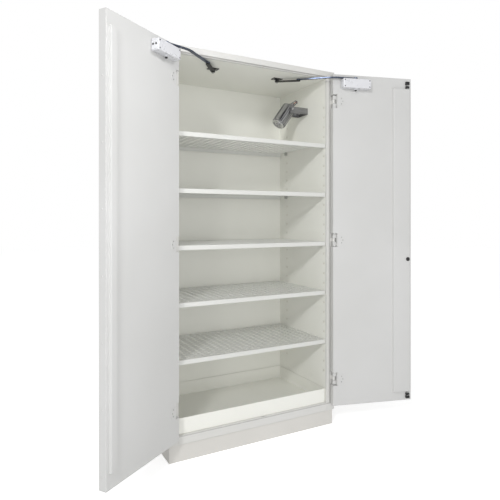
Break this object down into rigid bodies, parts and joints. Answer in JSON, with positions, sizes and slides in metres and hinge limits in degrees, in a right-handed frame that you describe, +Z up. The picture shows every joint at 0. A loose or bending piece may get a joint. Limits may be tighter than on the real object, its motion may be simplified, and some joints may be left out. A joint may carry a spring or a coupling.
{
  "type": "flammable storage cabinet",
  "caption": "Double-walled steel cabinet for flammable liquids, both doors open, with perforated shelves, spill tray, overhead door closers, rod lock and suppression canister.",
  "frame": {"origin": "centre of the plinth's footprint, on the floor", "axes": "+X to the right seen from the front, the front faces -Y, +Z up"},
  "size_m": [1.7417, 0.8323, 1.95],
  "materials": {
    "body_paint": "fine textured powder coat, pale warm grey",
    "door_paint": "fine textured powder coat, pale warm grey",
    "liner_paint": "smooth satin powder coat, pale grey-white",
    "closer_paint": "satin silver-white enamel",
    "arm_steel": "satin dark blue-grey enamel",
    "black_steel": "satin black",
    "zinc_steel": "zinc plated",
    "bright_metal": "bright nickel plate",
    "canister_grey": "satin dark grey enamel",
    "bulb_glass": "clear red-tinted glass",
    "black_plastic": "fine grained black",
    "mineral_board": "dull pressed mineral board",
    "seal_grey": "matt intumescent strip"
  },
  "bodies": {
    "cabinet": {"plinth": "body_paint", "levelling_feet": "black_plastic", "outer_side_left": "body_paint", "outer_side_right": "body_paint", "outer_top": "body_paint", "outer_back": "body_paint", "outer_bottom": "body_paint", "header_channel": "body_paint", "sill_channel": "body_paint", "liner_left": "liner_paint", "liner_right": "liner_paint", "liner_back": "liner_paint", "liner_ceiling": "liner_paint", "liner_floor": "liner_paint", "core_left": "mineral_board", "core_right": "mineral_board", "core_back": "mineral_board", "core_top": "mineral_board", "frame_gasket": "seal_grey", "shelf_clips": "zinc_steel", "spill_tray": "liner_paint", "hinge_frame_leaves": "door_paint", "hinge_pins": "zinc_steel", "closer_brackets": "black_steel", "suppressor_bracket": "zinc_steel", "suppressor_bolts": "zinc_steel", "shelf_1": "liner_paint", "shelf_2": "liner_paint", "shelf_3": "liner_paint", "shelf_4": "liner_paint", "shelf_5": "liner_paint"},
    "left_door": {"left_door_skin": "door_paint", "left_door_pan": "door_paint", "left_door_core": "mineral_board", "left_hinge_leaves": "door_paint", "left_closer_housing": "closer_paint", "left_edge_cover": "door_paint", "left_edge_rivets": "door_paint"},
    "right_door": {"right_door_skin": "door_paint", "right_door_pan": "door_paint", "right_door_core": "mineral_board", "right_hinge_leaves": "door_paint", "right_closer_housing": "closer_paint", "right_lock_cover": "door_paint", "lock_case": "zinc_steel", "handle_plate": "black_plastic", "rod_guides": "black_steel"},
    "left_closer_arm": {"left_closer_arm": "arm_steel"},
    "left_closer_link": {"left_closer_link": "black_steel"},
    "right_closer_arm": {"right_closer_arm": "arm_steel"},
    "right_closer_link": {"right_closer_link": "black_steel"},
    "lock_handle": {"door_handle": "black_plastic", "lock_spindle": "black_steel"},
    "upper_rod": {"upper_rod": "zinc_steel"},
    "lower_rod": {"lower_rod": "zinc_steel"},
    "suppressor": {"suppressor_canister": "canister_grey", "suppressor_nozzle": "bright_metal", "suppressor_frame": "canister_grey", "suppressor_bulb": "bulb_glass"}
  },
  "joints": [
    {"name": "left_door_hinge", "type": "hinge", "parent": "cabinet", "child": "left_door", "pos_m": [-0.458, -0.288, 1.021], "axis": [0, 0, 1], "range_deg": [0, 145]},
    {"name": "right_door_hinge", "type": "hinge", "parent": "cabinet", "child": "right_door", "pos_m": [0.458, -0.288, 1.021], "axis": [0, 0, -1], "range_deg": [0, 164]},
    {"name": "left_closer_arm_pivot", "type": "hinge", "parent": "left_door", "child": "left_closer_arm", "pos_m": [-0.52738, -0.38419, 1.903], "axis": [0, 0, -1], "range_deg": [0, 145]},
    {"name": "right_closer_arm_pivot", "type": "hinge", "parent": "right_door", "child": "right_closer_arm", "pos_m": [0.55491, -0.35636, 1.903], "axis": [0, 0, 1], "range_deg": [0, 164]},
    {"name": "left_closer_link_pivot", "type": "hinge", "parent": "cabinet", "child": "left_closer_link", "pos_m": [-0.192, -0.125, 1.8962], "axis": [0, 0, 1], "range_deg": [0, 145]},
    {"name": "right_closer_link_pivot", "type": "hinge", "parent": "cabinet", "child": "right_closer_link", "pos_m": [0.192, -0.125, 1.8962], "axis": [0, 0, -1], "range_deg": [0, 164]},
    {"name": "handle_turn", "type": "hinge", "parent": "right_door", "child": "lock_handle", "pos_m": [0.87603, -0.39018, 0.911], "axis": [-0.2756, -0.9613, 0], "range_deg": [0, 90]},
    {"name": "upper_rod_slide", "type": "slide", "parent": "right_door", "child": "upper_rod", "axis": [0, 0, 1], "range_m": [0, 0.0185]},
    {"name": "lower_rod_slide", "type": "slide", "parent": "right_door", "child": "lower_rod", "axis": [0, 0, -1], "range_m": [0, 0.0185]},
    {"name": "suppressor_tilt", "type": "hinge", "parent": "cabinet", "child": "suppressor", "pos_m": [0.32, -0.035, 1.768], "axis": [0, 1, 0], "range_deg": [-20, 25]}
  ],
  "couplings": [
    {"joint": "left_closer_arm_pivot", "follows": "left_door_hinge", "ratio": 1},
    {"joint": "left_closer_link_pivot", "follows": "left_door_hinge", "ratio": 1},
    {"joint": "right_closer_arm_pivot", "follows": "right_door_hinge", "ratio": 1},
    {"joint": "right_closer_link_pivot", "follows": "right_door_hinge", "ratio": 1},
    {"joint": "upper_rod_slide", "follows": "handle_turn", "m_per_rad": 0.01146},
    {"joint": "lower_rod_slide", "follows": "handle_turn", "m_per_rad": 0.01146}
  ]
}
